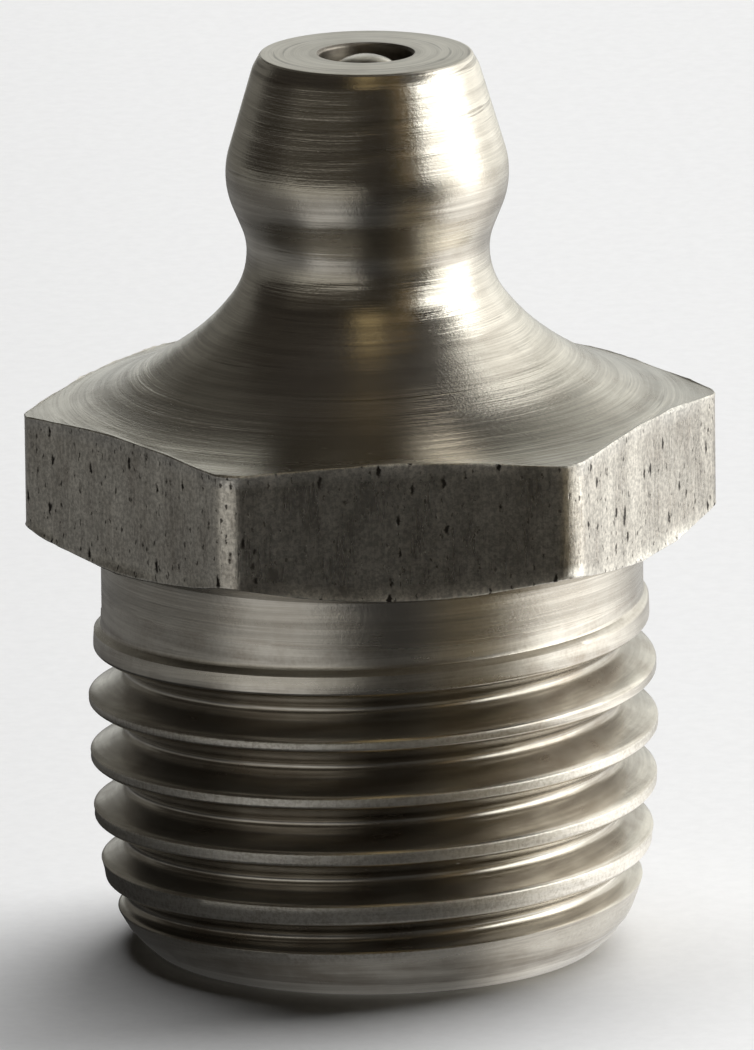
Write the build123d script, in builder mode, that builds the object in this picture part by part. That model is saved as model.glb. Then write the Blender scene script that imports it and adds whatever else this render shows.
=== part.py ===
"""Straight grease nipple with a hexagon and a G 1/4 parallel pipe thread.

Three pieces: the body, turned from one hexagon bar, the check ball that closes its
inlet, and the helical spring that holds the ball up.  The frame has its origin at the
centre of the threaded end's face, +Z along the axis towards the head, and a corner of
the hexagon on +X.  The thread is shown as its envelope: the crest cylinder with its
lead taper, as on a drawing.  Lengths are in millimetres and angles in degrees.
"""

from build123d import *
import math
import os

# ---------------------------------------------------------------- hexagon
ACROSS_FLATS = 14.0
CORNER_DIAMETER = 15.92  # the bar's corners, slightly turned off
HEX_BOTTOM = 9.56  # underside of the hexagon
UNDERSIDE_DIAMETER = 13.3  # flat ring of the underside, inside its chamfer
CORNER_LOW = 10.09  # lower end of a corner's edge
CORNER_HIGH = 12.68  # upper end of a corner's edge

# ---------------------------------------------------------------- head, neck and flare
FLARE_DIAMETER = 8.32  # where the shoulder turns up into the flare
FLARE_HEIGHT = 14.23
NECK_DIAMETER = 5.58  # waist behind the head
NECK_HEIGHT = 16.35
NECK_LOWER_RADIUS = 1.85
NECK_LOWER_SWEEP = 37.0  # turn from the waist to where the flare opens
NECK_UPPER_RADIUS = 1.45
HEAD_DIAMETER = 6.5
HEAD_HEIGHT = 18.15  # widest point of the head
CROWN_RADIUS = 2.0  # rounding at the widest point
LOWER_FLANK = 21.5  # from the axis, the side that the coupler's jaws grip
UPPER_FLANK = 16.5  # from the axis, the side that guides the coupler on
BEVEL_HEIGHT = 20.62  # where the upper flank meets the edge bevel
FACE_DIAMETER = 4.86  # flat of the head
OVERALL_HEIGHT = 20.93

# ---------------------------------------------------------------- threaded shank, G 1/4
THREAD_DIAMETER = 13.157  # over the crests
THREAD_LOW = 3.0  # crests are full from here
THREAD_HIGH = 7.0  # up to here
COLLAR_DIAMETER = 12.48  # plain blank between the thread and the hexagon
COLLAR_LOW = 8.3  # where the rolled ridge has died out
LEAD_DIAMETER = 11.90  # first crest at the threaded end
LEAD_HEIGHT = 0.90
END_DIAMETER = 10.34  # flat ring that the nipple stands on
END_BULGE = 0.10  # how far the rounded end stands off its chord

# ---------------------------------------------------------------- grease way
INLET_DIAMETER = 2.14
INLET_DEPTH = 0.60  # from the head's flat down to the seat
INLET_CHAMFER = 0.06
SEAT_ANGLE = 30.0  # seat cone, from the axis
BORE_DIAMETER = 3.4
OUTLET_DIAMETER = 2.3  # inside the lip that is rolled in to hold the spring
LIP_HEIGHT = 0.75
OUTLET_CHAMFER = 0.25

# ---------------------------------------------------------------- ball and spring
BALL_DIAMETER = 2.5
SEAT_CLEARANCE = 0.02  # between the ball and the seat cone
SPRING_DIAMETER = 3.0  # outside
WIRE_DIAMETER = 0.40
SPRING_TURNS = 9.0
WIRE_SIDES = 6  # the wire is drawn as a bar with this many flats
SPRING_CLEARANCE = 0.03  # from the spring to the ball, and from the spring to the lip
GROUND_DEPTH = 0.10  # wire ground flat at each end of the spring

# ---------------------------------------------------------------- worked-out places
BALL_RADIUS = BALL_DIAMETER / 2
WIRE_RADIUS = WIRE_DIAMETER / 2
COIL_RADIUS = SPRING_DIAMETER / 2 - WIRE_RADIUS
SEAT_SLOPE = math.tan(math.radians(SEAT_ANGLE))

# The seat is a cone that opens downwards from the inlet to the bore.
SEAT_TOP = OVERALL_HEIGHT - INLET_DEPTH
SEAT_BOTTOM = SEAT_TOP - (BORE_DIAMETER - INLET_DIAMETER) / 2 / SEAT_SLOPE
SEAT_APEX = SEAT_TOP + INLET_DIAMETER / 2 / SEAT_SLOPE
# The ball's surface lies one clearance off the cone's side, all round.
BALL_HEIGHT = SEAT_APEX - (BALL_RADIUS + SEAT_CLEARANCE) / math.sin(math.radians(SEAT_ANGLE))

# The spring stands on the lip, and its top coil carries the ball on a circle.
SPRING_BOTTOM = LIP_HEIGHT + SPRING_CLEARANCE
CONTACT_REACH = BALL_RADIUS + WIRE_RADIUS + SPRING_CLEARANCE
TOP_COIL = BALL_HEIGHT - math.sqrt(CONTACT_REACH**2 - COIL_RADIUS**2)
SPRING_TOP = TOP_COIL + WIRE_RADIUS - GROUND_DEPTH
COIL_BOTTOM = SPRING_BOTTOM + WIRE_RADIUS - GROUND_DEPTH
SPRING_PITCH = (TOP_COIL - COIL_BOTTOM) / SPRING_TURNS


def turned_outline():
    """Draw the body's half section, radius across and height up, as a closed outline."""
    widest = (HEAD_DIAMETER / 2, HEAD_HEIGHT)
    waist = (NECK_DIAMETER / 2, NECK_HEIGHT)
    corner_high = (CORNER_DIAMETER / 2, CORNER_HIGH)

    # Head: the crown's two arcs run into the flanks; the upper one ends at the bevel.
    crown_high = JernArc(widest, (0, 1), CROWN_RADIUS, UPPER_FLANK)
    crown_low = JernArc(widest, (0, -1), CROWN_RADIUS, -LOWER_FLANK)
    flank_rise = BEVEL_HEIGHT - (crown_high @ 1).Y
    bevel_radius = (crown_high @ 1).X - flank_rise * math.tan(math.radians(UPPER_FLANK))
    Polyline(
        crown_high @ 1,
        (bevel_radius, BEVEL_HEIGHT),
        (FACE_DIAMETER / 2, OVERALL_HEIGHT),
        (0, OVERALL_HEIGHT),
        (0, 0),
        (END_DIAMETER / 2, 0),
    )

    # Neck and flare: tangent arcs that open out to the hexagon's corner.
    neck_high = JernArc(waist, (0, 1), NECK_UPPER_RADIUS, -LOWER_FLANK)
    Line(crown_low @ 1, neck_high @ 1)
    neck_low = JernArc(waist, (0, -1), NECK_LOWER_RADIUS, NECK_LOWER_SWEEP)
    flare = TangentArc(neck_low @ 1, (FLARE_DIAMETER / 2, FLARE_HEIGHT), tangent=neck_low % 1)
    TangentArc(flare @ 1, corner_high, tangent=flare % 1)

    # Shank: rounded end, lead taper, crest cylinder, fading ridge, collar, underside.
    lead = (LEAD_DIAMETER / 2, LEAD_HEIGHT)
    SagittaArc((END_DIAMETER / 2, 0), lead, -END_BULGE)
    Polyline(
        lead,
        (THREAD_DIAMETER / 2, THREAD_LOW),
        (THREAD_DIAMETER / 2, THREAD_HIGH),
        (COLLAR_DIAMETER / 2, COLLAR_LOW),
        (COLLAR_DIAMETER / 2, HEX_BOTTOM),
        (UNDERSIDE_DIAMETER / 2, HEX_BOTTOM),
        (CORNER_DIAMETER / 2, CORNER_LOW),
        corner_high,
    )


def bore_outline():
    """Draw the half section of the grease way, from the outlet past the seat to the inlet."""
    inlet = INLET_DIAMETER / 2
    outlet = OUTLET_DIAMETER / 2
    bore = BORE_DIAMETER / 2
    Polyline(
        (0, 0),
        (outlet + OUTLET_CHAMFER, 0),
        (outlet, OUTLET_CHAMFER),
        (outlet, LIP_HEIGHT),
        (bore, LIP_HEIGHT),
        (bore, SEAT_BOTTOM),
        (inlet, SEAT_TOP),
        (inlet, OVERALL_HEIGHT - INLET_CHAMFER),
        (inlet + INLET_CHAMFER, OVERALL_HEIGHT),
        (0, OVERALL_HEIGHT),
        close=True,
    )


# ---------------------------------------------------------------- body
with BuildPart() as body:
    # The hexagon bar, turned down all round: its flats and corners are what is left.
    with BuildSketch(Plane.XY):
        RegularPolygon(radius=ACROSS_FLATS / 2, side_count=6, major_radius=False)
    extrude(amount=OVERALL_HEIGHT)
    with BuildSketch(Plane.XZ):
        with BuildLine():
            turned_outline()
        make_face()
    revolve(axis=Axis.Z, mode=Mode.INTERSECT)

    # The grease way through the middle, with the ball's seat and the spring's lip.
    with BuildSketch(Plane.XZ):
        with BuildLine():
            bore_outline()
        make_face()
    revolve(axis=Axis.Z, mode=Mode.SUBTRACT)

# ---------------------------------------------------------------- ball
with BuildPart() as ball:
    with BuildSketch(Plane.XZ):
        with BuildLine():
            pole = (0, BALL_HEIGHT + BALL_RADIUS)
            foot = (0, BALL_HEIGHT - BALL_RADIUS)
            ThreePointArc(foot, (BALL_RADIUS, BALL_HEIGHT), pole)
            Line(pole, foot)
        make_face()
    revolve(axis=Axis.Z)

# ---------------------------------------------------------------- spring
with BuildPart() as spring:
    # The wire is wound at one pitch, then both ends are ground flat.
    with BuildLine() as coil:
        Helix(SPRING_PITCH, TOP_COIL - COIL_BOTTOM, COIL_RADIUS, center=(0, 0, COIL_BOTTOM))
    with BuildSketch(Plane(origin=coil.line @ 0, z_dir=coil.line % 0)):
        RegularPolygon(WIRE_RADIUS, WIRE_SIDES, major_radius=False)
    sweep(is_frenet=True)
    with BuildSketch(Plane.XY.offset(SPRING_BOTTOM)):
        Circle(SPRING_DIAMETER)
    extrude(amount=SPRING_TOP - SPRING_BOTTOM, mode=Mode.INTERSECT)

# ---------------------------------------------------------------- output
os.makedirs("parts", exist_ok=True)
body.part.label = "body"
ball.part.label = "ball"
spring.part.label = "spring"
export_step(body.part, "parts/body.step")
export_step(ball.part, "parts/ball.step")
export_step(spring.part, "parts/spring.step")
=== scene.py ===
"""Straight grease nipple: the finished surfaces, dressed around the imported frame.

Laid out as an add-on with one operator for each piece and one for the stage.  Every
length is in metres, in the frame's own axes: the origin is the centre of the threaded
end's face, +Z runs up the axis to the head, and a corner of the hexagon is on +X.
"""

import math

import bmesh
import bpy
import numpy as np
from bpy.props import FloatProperty, FloatVectorProperty, PointerProperty
from mathutils import Matrix, Vector


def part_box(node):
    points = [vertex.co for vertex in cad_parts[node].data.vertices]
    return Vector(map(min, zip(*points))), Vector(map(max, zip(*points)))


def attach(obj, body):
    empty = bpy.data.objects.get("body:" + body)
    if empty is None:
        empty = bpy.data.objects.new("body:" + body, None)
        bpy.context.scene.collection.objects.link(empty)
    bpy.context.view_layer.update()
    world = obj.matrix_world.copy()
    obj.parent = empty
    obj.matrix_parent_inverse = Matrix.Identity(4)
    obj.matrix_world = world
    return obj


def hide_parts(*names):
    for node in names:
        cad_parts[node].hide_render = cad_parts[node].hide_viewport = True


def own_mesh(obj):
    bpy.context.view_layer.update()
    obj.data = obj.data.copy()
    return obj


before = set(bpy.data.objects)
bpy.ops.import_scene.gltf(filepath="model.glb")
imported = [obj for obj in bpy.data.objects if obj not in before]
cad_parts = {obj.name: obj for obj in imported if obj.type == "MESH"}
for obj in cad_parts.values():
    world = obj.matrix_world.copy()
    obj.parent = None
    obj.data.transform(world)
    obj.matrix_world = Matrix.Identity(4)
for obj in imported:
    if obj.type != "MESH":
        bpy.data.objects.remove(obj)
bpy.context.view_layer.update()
BODY_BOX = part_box("body")
BALL_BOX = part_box("ball")
SPRING_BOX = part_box("spring")

bl_info = {
    "name": "Grease Nipple",
    "version": (1, 0, 0),
    "blender": (4, 5, 0),
    "location": "3D View > Sidebar > Nipple",
    "description": "Builds a straight grease nipple with a pipe thread, its ball and spring",
    "category": "Add Mesh",
}

MM = 0.001
FLAT_SPAN = math.radians(60)
# The thread's grid ends here, and the rounded end goes on as plain rings.
THREAD_FOOT = 0.30 * MM
# Where the soft light stands, round the axis from the front and above the horizon, and
# how wide it looks.
FILL_AZIMUTH, FILL_ELEVATION, FILL_WIDTH = math.radians(-176), math.radians(77), math.radians(34)
# Dirt in the metal's scratches, painted shade for the thread's groove and the grease way, metal that is
# rubbed bright, and none at all, linear light.
SCRATCH_DIRT = (0.10, 0.085, 0.065)
THREAD_SHADE = (0.085, 0.068, 0.05)
BORE_SHADE = (0.09, 0.075, 0.06)
BRIGHT_STEEL = (0.86, 0.84, 0.79)
BLACK = (0.0, 0.0, 0.0)


# ------------------------ settings


def size(name, millimetres, text):
    """A length setting whose default is given in millimetres."""
    return FloatProperty(
        name=name, description=text, default=millimetres * MM, unit="LENGTH", precision=6
    )


def angle(name, degrees, text):
    """An angle setting whose default is given in degrees."""
    return FloatProperty(
        name=name, description=text, default=math.radians(degrees), subtype="ANGLE"
    )


def share(name, value, text, top=1.0):
    """A plain number from nought to top."""
    return FloatProperty(name=name, description=text, default=value, min=0.0, max=top)


def colour(name, rgb, text):
    """A colour setting, linear light."""
    return FloatVectorProperty(
        name=name, description=text, default=rgb, size=3, subtype="COLOR", min=0.0, max=1.0
    )


class NippleHeadSettings(bpy.types.PropertyGroup):
    """Head, neck and the flare that opens out to the hexagon."""

    overall_height: size("Overall height", BODY_BOX[1].z / MM, "End face to the head's flat")
    face_diameter: size("Face", 4.86, "Flat of the head")
    bevel_height: size("Bevel height", 20.62, "Where the upper flank meets the bevel")
    head_diameter: size("Head", 6.5, "Widest point of the head")
    head_height: size("Head height", 18.15, "Height of the widest point")
    crown_radius: size("Crown radius", 2.0, "Rounding at the widest point")
    upper_flank: angle("Upper flank", 16.5, "Slope of the flank above the widest point")
    lower_flank: angle("Lower flank", 21.5, "Slope of the flank below the widest point")
    neck_diameter: size("Neck", 5.58, "Waist behind the head")
    neck_height: size("Neck height", 16.35, "Height of the waist")
    neck_upper_radius: size("Neck upper radius", 1.45, "Hollow from the waist to the head")
    neck_lower_radius: size("Neck lower radius", 1.85, "Hollow from the waist to the flare")
    neck_lower_sweep: angle("Neck lower sweep", 37.0, "Turn of the lower hollow")
    flare_diameter: size("Flare", 8.32, "Where the shoulder turns up into the flare")
    flare_height: size("Flare height", 14.23, "Height of that turn")


class NippleHexagonSettings(bpy.types.PropertyGroup):
    """The drawn bar's flats and the turned shoulder and chamfer that end them."""

    across_flats: size("Across flats", 14.0, "Spanner size")
    corner_diameter: size("Across corners", BODY_BOX[1].x * 2 / MM, "Over the turned-off corners")
    corner_high: size("Corner top", 12.68, "Upper end of a corner's edge")
    corner_low: size("Corner bottom", 10.09, "Lower end of a corner's edge")
    underside_height: size("Underside", 9.56, "Flat ring under the hexagon")
    underside_diameter: size("Underside ring", 13.3, "Outside of that ring")
    burr: size("Burr", 0.05, "How far the smeared edge stands off the flats")


class NippleThreadSettings(bpy.types.PropertyGroup):
    """Rolled parallel pipe thread on the shank, with its taper and run-out."""

    pitch: size("Pitch", 1.337, "Rise in one turn")
    crest_diameter: size("Crest", 13.157, "Over the full crests")
    root_diameter: size("Root", 11.445, "At the bottom of the groove")
    flank_angle: angle("Flank angle", 27.5, "Half the angle between the flanks")
    root_radius: size("Root radius", 0.184, "Rounding at the bottom of the groove")
    crest_blend: size("Crest blend", 0.13, "Reach of the rounding at the crest's edges")
    front_crest: size("Front crest", 6.227, "Height of one crest at the front of the shank")
    blank_diameter: size("Blank", 12.48, "Plain collar above the thread")
    lead_length: size("Lead length", 1.25, "How soon the crests reach their full height")
    lead_height: size("Lead height", 0.9, "Top of the rounded end")
    lead_diameter: size("Lead", 11.90, "Over the rounded end's top")
    end_diameter: size("End", 10.34, "Flat ring that the nipple stands on")
    end_bulge: size("End bulge", 0.10, "How far the rounded end stands off its chord")
    run_out: size("Run-out", 8.45, "Where the last ridge has died out")
    lip: size("Crest lip", 0.018, "Depth of the seam between a low crest's two lips")


class NippleValveSettings(bpy.types.PropertyGroup):
    """Grease way, ball and spring."""

    inlet_diameter: size("Inlet", 2.14, "Hole in the head")
    inlet_depth: size("Inlet depth", 0.60, "From the head's flat down to the seat")
    inlet_chamfer: size("Inlet chamfer", 0.06, "Broken edge of the inlet")
    seat_angle: angle("Seat angle", 30.0, "Seat cone, from the axis")
    bore_diameter: size("Bore", 3.4, "Spring's chamber")
    outlet_diameter: size("Outlet", 2.3, "Inside the lip that holds the spring")
    lip_height: size("Lip height", 0.75, "Top of that lip")
    outlet_chamfer: size("Outlet chamfer", 0.25, "Broken edge of the outlet")
    ball_diameter: size("Ball", (BALL_BOX[1].x - BALL_BOX[0].x) / MM, "Check ball")
    wire_diameter: size("Wire", 0.40, "Spring wire")
    spring_turns: share("Spring turns", 9.0, "Turns of the spring", 40.0)
    ground_depth: size("Ground depth", 0.10, "Wire ground flat at each end")


class NippleFinishSettings(bpy.types.PropertyGroup):
    """Colours and finishes of the steel."""

    steel: colour("Steel", (0.625, 0.595, 0.53), "Clean stainless steel")
    film: colour("Film", (0.30, 0.255, 0.205), "Thin brown film in the low places")
    pit: colour("Pit", (0.035, 0.03, 0.027), "Dirt in the pits of the drawn bar")
    turned_roughness: share("Turned roughness", 0.22, "Turned surfaces")
    drawn_roughness: share("Drawn roughness", 0.28, "Flats of the bar")
    rolled_roughness: share("Rolled roughness", 0.22, "Flanks of the thread")
    film_amount: share("Film amount", 0.35, "How much of the film is left")
    # Painted shade: how far the thread is darkened beside the root of its groove.
    grime: share("Grime", 0.28, "How dark the thread is beside the bottom of its groove")


class NippleStageSettings(bpy.types.PropertyGroup):
    """Floor, surroundings, lamps and camera."""

    floor: colour("Floor", (0.885, 0.885, 0.882), "Paper floor")
    window: share("Window", 3.6, "Strength of the large window on the right", 20.0)
    backdrop: share("Backdrop", 1.0, "Strength of the pale backdrop behind", 20.0)
    lamp: share("Lamp", 3.25, "Strength of the wide lamp that throws the shadow", 20.0)
    lamp_azimuth: angle("Lamp azimuth", 134.0, "Round the axis from the front")
    lamp_elevation: angle("Lamp elevation", 37.0, "Above the horizon")
    lamp_width: angle("Lamp width", 62.0, "How wide the lamp looks from the floor")
    fill: share("Fill", 1.25, "Strength of the soft light from above, a little behind", 20.0)
    camera_azimuth: angle("Camera azimuth", -5.42, "Round the axis from the front")
    camera_elevation: angle("Camera elevation", 13.38, "Above the horizon")
    camera_roll: angle("Camera roll", -0.70, "Turn about the line of sight")
    camera_distance: size("Camera distance", 500.0, "From the axis")
    camera_lens: share("Lens", 745.3, "Focal length in millimetres, for a 36 mm frame", 5000.0)
    camera_height: size("Camera target", 9.815, "Height of the point looked at")
    camera_offset: size("Camera offset", 0.126, "Sideways shift of the eye")


class NippleSettings(bpy.types.PropertyGroup):
    """All settings of the nipple."""

    head: PointerProperty(type=NippleHeadSettings)
    hexagon: PointerProperty(type=NippleHexagonSettings)
    thread: PointerProperty(type=NippleThreadSettings)
    valve: PointerProperty(type=NippleValveSettings)
    finish: PointerProperty(type=NippleFinishSettings)
    stage: PointerProperty(type=NippleStageSettings)


# ------------------------ curves in the half plane


def arc(start, heading, radius, sweep, count):
    """Circular arc that leaves start along heading and turns by sweep, left if positive.

    Point t of the arc is the centre plus the start's arm turned by t times sweep.
    Returns the points and the heading at the end.
    """
    start = np.array(start, float)
    heading = np.array(heading, float)
    side = math.copysign(1.0, sweep)
    centre = start + radius * side * np.array([-heading[1], heading[0]])
    turn = np.linspace(0.0, sweep, count)
    arm = start - centre

    def turned(v, a):
        """Vector v turned by a."""
        return np.stack([v[0] * np.cos(a) - v[1] * np.sin(a), v[0] * np.sin(a) + v[1] * np.cos(a)], axis=-1)

    return centre + turned(arm, turn), turned(heading, sweep)


def arc_to(start, heading, end, count):
    """Circular arc that leaves start along heading and ends at end.

    Its radius is the chord squared over twice the chord's part square to the heading,
    and it turns by twice the angle between the chord and the heading.
    """
    start, end = np.array(start, float), np.array(end, float)
    heading = np.array(heading, float)
    chord = end - start
    left = np.array([-heading[1], heading[0]])
    off = float(chord @ left)
    radius = abs(float(chord @ chord) / (2 * off))
    sweep = 2 * math.atan2(off, float(chord @ heading))
    return arc(start, heading, radius, sweep, count)


def eased(points, reach, count=4):
    """A broken line whose corners are eased.

    Each corner becomes a curve between the points one reach before and after it,
    (1-t)^2 a + 2 t (1-t) corner + t^2 b; reach is one number or one for each corner.
    """
    points = [np.array(p, float) for p in points]
    reach = np.broadcast_to(reach, len(points) - 2)
    out = [points[0][None]]
    t = np.linspace(0.0, 1.0, count)[:, None]
    for before, corner, after, r in zip(points, points[1:], points[2:], reach):
        a = corner + (before - corner) * min(0.45, r / np.linalg.norm(before - corner))
        b = corner + (after - corner) * min(0.45, r / np.linalg.norm(after - corner))
        out.append((1 - t) ** 2 * a + 2 * t * (1 - t) * corner + t**2 * b)
    out.append(points[-1][None])
    return np.concatenate(out)


def joined(*pieces):
    """Point lists set end to end, each shared end kept once."""
    return np.concatenate([pieces[0]] + [p[1:] for p in pieces[1:]])


def smooth(low, high, x):
    """Smooth step 3t^2 - 2t^3 from nought at low to one at high."""
    t = np.clip((x - low) / (high - low), 0.0, 1.0)
    return t * t * (3 - 2 * t)


def lower_of(a, b, reach):
    """Smooth minimum: the lesser of a and b, less reach/4 times the squared closeness."""
    close = np.clip(reach - np.abs(a - b), 0.0, None) / reach
    return np.minimum(a, b) - close**2 * reach / 4


def jag(theta, waves, seed):
    """Rough closed line: sines of every whole wave number in the range, seeded phases,
    scaled so that it stays mostly within one either way."""
    rng = np.random.default_rng(seed)
    n = np.arange(*waves)
    phase = rng.uniform(0, 2 * np.pi, len(n))
    weight = rng.uniform(0.3, 1.0, len(n))
    line = (weight * np.sin(np.outer(theta, n) + phase)).sum(1)
    return line / (2.0 * np.sqrt((weight**2).sum() / 2))


# ------------------------ body surface


def columns(hexagon):
    """Angles of the body's columns, closer together beside the corners.

    A corner's strip runs half its width either side of the corner; between strips the
    angle is u - 0.5 sin(2 pi u)/(2 pi) of the way across the flat.
    """
    cut = FLAT_SPAN / 2 - math.acos(hexagon.across_flats / hexagon.corner_diameter)
    strip = np.linspace(-cut, cut, 5)[:-1]
    u = np.linspace(0.0, 1.0, 41)[:-1]
    flat = cut + (FLAT_SPAN - 2 * cut) * (u - 0.5 * np.sin(2 * np.pi * u) / (2 * np.pi))
    sector = np.concatenate([strip, flat])
    return np.concatenate([sector + k * FLAT_SPAN for k in range(6)])


def hexagon_radius(theta, hexagon):
    """Half across flats over the cosine from the flat's middle, cut off at the corners
    with the edges of the cut a little rounded."""
    off = np.mod(theta, FLAT_SPAN) - FLAT_SPAN / 2
    return lower_of(hexagon.across_flats / 2 / np.cos(off), hexagon.corner_diameter / 2, 0.07 * MM)


def head_profile(head, valve):
    """Half section from the inlet's edge over the face, crown and neck to the flare.

    Returns the points and the heading where the flare ends.
    """
    widest = (head.head_diameter / 2, head.head_height)
    waist = (head.neck_diameter / 2, head.neck_height)
    high, _ = arc(widest, (0, 1), head.crown_radius, head.upper_flank, 9)
    low, _ = arc(widest, (0, -1), head.crown_radius, -head.lower_flank, 10)
    rise = head.bevel_height - high[-1][1]
    bevel = (high[-1][0] - rise * math.tan(head.upper_flank), head.bevel_height)
    above, _ = arc(waist, (0, 1), head.neck_upper_radius, -head.lower_flank, 8)
    below, heading = arc(waist, (0, -1), head.neck_lower_radius, head.neck_lower_sweep, 12)
    turn = (head.flare_diameter / 2, head.flare_height)
    flare, heading = arc_to(below[-1], heading, turn, 14)
    top = head.overall_height
    mouth = valve.inlet_diameter / 2 + valve.inlet_chamfer
    edge = eased([(mouth, top), (head.face_diameter / 2, top), bevel, high[-1]], [0.05 * MM, 0.07 * MM])
    flank = np.linspace(edge[-2], high[-1], 9)
    under = np.linspace(low[-1], above[-1], 5)
    path = joined(edge[:-1], flank, high[::-1], low, under, above[::-1], below, flare)
    return path, heading


def shank_envelope(z, thread):
    """Radius over the crests at height z.

    Below the lead height a rounded end, above it the crest radius less a gap that
    shrinks exponentially, one lead length at a time.
    """
    crest, lead, end = thread.crest_diameter / 2, thread.lead_diameter / 2, thread.end_diameter / 2
    over = crest - (crest - lead) * np.exp(-(z - thread.lead_height) / thread.lead_length)
    t = np.clip(z / thread.lead_height, 0.0, 1.0)
    rounded = end + (lead - end) * t + 4 * thread.end_bulge * t * (1 - t)
    return np.where(z > thread.lead_height, over, rounded)


def thread_radius(z, theta, thread):
    """Radius of the threaded shank at height z and angle theta, and its crest phase.

    The phase is the height above the nearest crest of a right-hand helix.  The flanks are
    straight lines at the flank angle, rounded at the root; the surface is the smooth lower
    of the flanks and the envelope.  Towards the run-out the groove is lifted out along
    its own turn, so it grows narrow as it grows shallow, and the ridge sinks to the blank
    as a band with a low step at its upper edge.
    """
    pitch = thread.pitch
    crest_height = thread.front_crest + pitch * (theta - 1.5 * np.pi) / (2 * np.pi)
    phase = np.mod(z - crest_height + pitch / 2, pitch) - pitch / 2
    slope = 1 / math.tan(thread.flank_angle)
    root, r0 = thread.root_diameter / 2, thread.root_radius
    off = pitch / 2 - np.abs(phase)
    contact = r0 * math.cos(thread.flank_angle)
    arc_part = root + r0 - np.sqrt(np.clip(r0**2 - np.minimum(off, contact) ** 2, 0, None))
    flank = root + r0 * (1 - math.sin(thread.flank_angle)) + slope * (off - contact)
    vee = np.where(off < contact, arc_part, flank)
    top, blank = thread.run_out, thread.blank_diameter / 2
    crest = z - phase
    groove_height = crest + np.where(phase > 0, pitch / 2, -pitch / 2)
    lift = 0.95 * np.clip(groove_height - (top - 1.25 * MM), 0, None)
    # Ridge is the share of a crest's height that is left, and brim the upper edge's step.
    ridge = 1 - 0.4 * smooth(top - 2.45 * MM, top - 1.15 * MM, crest)
    ridge = ridge - 0.6 * smooth(top - 1.05 * MM, top + 0.15 * MM, crest)
    brim = 0.15 * np.clip(phase / (0.3 * pitch), 0, 1) + 0.85 * smooth(0.19 * pitch, 0.30 * pitch, phase)
    lean = smooth(top - 1.6 * MM, top - 1.15 * MM, crest) * brim
    over = shank_envelope(z, thread)
    over = blank + np.where(z > 4 * MM, ridge * (1 - lean), 1.0) * (over - blank)
    radius = lower_of(over, vee + lift, thread.crest_blend)
    ending = smooth(top - 0.05 * MM, top + 0.05 * MM, z)
    return radius + (blank - radius) * ending, phase


def thread_rows(thread, theta):
    """Heights of the thread's rows at each angle, from the run-out down to the end.

    Each turn has the same rows: across the crest's land, its edges, the flank, and the
    root; the land widens where the envelope is low.  Rows rise with the helix, and run on
    past both ends.
    """
    pitch = thread.pitch
    slope = 1 / math.tan(thread.flank_angle)
    middle = (thread.crest_diameter + thread.root_diameter) / 4
    turns = np.arange(-3, 8)
    rise = thread.front_crest + pitch * (theta[None, :] - 1.5 * np.pi) / (2 * np.pi)
    crest = rise + pitch * (turns[:, None] - 4)
    over = np.clip(shank_envelope(np.clip(crest, 0, None), thread), middle - 0.3 * MM, None)
    land = np.clip(pitch / 4 + (middle - over) / slope, 0.1 * MM, 0.40 * MM)
    near = (-0.06, -0.035, -0.012, 0.012, 0.035, 0.06, 0.08)
    root = pitch / 2
    contact = root - thread.root_radius * math.cos(thread.flank_angle)
    ups = [0 * land] + [land + n * MM for n in near]
    gap = contact - 0.092 * MM - land
    ups += [land + near[-1] * MM + f * gap for f in (0.2, 0.4, 0.6, 0.8, 1.0)]
    ups += [0 * land + contact + f * MM for f in (0.012, 0.05, 0.095, 0.13)]
    ups = np.array(ups + [0 * land + root])
    downs = -ups[1:-1][::-1]
    rows = []
    for n in range(len(turns) - 1):
        rows += [crest[None, n] + ups[:, n], crest[None, n + 1] + downs[:, n + 1]]
    return np.concatenate(rows)[::-1]


def ring_faces(rows, count, wrap):
    """Quads of a grid of rows and columns; with wrap the last column meets the first."""
    k = np.arange(rows - 1)[:, None] * count
    j = np.arange(count if wrap else count - 1)[None, :]
    nxt = (j + 1) % count
    return np.stack([k + j, k + count + j, k + count + nxt, k + nxt], axis=-1).reshape(-1, 4)


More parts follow.
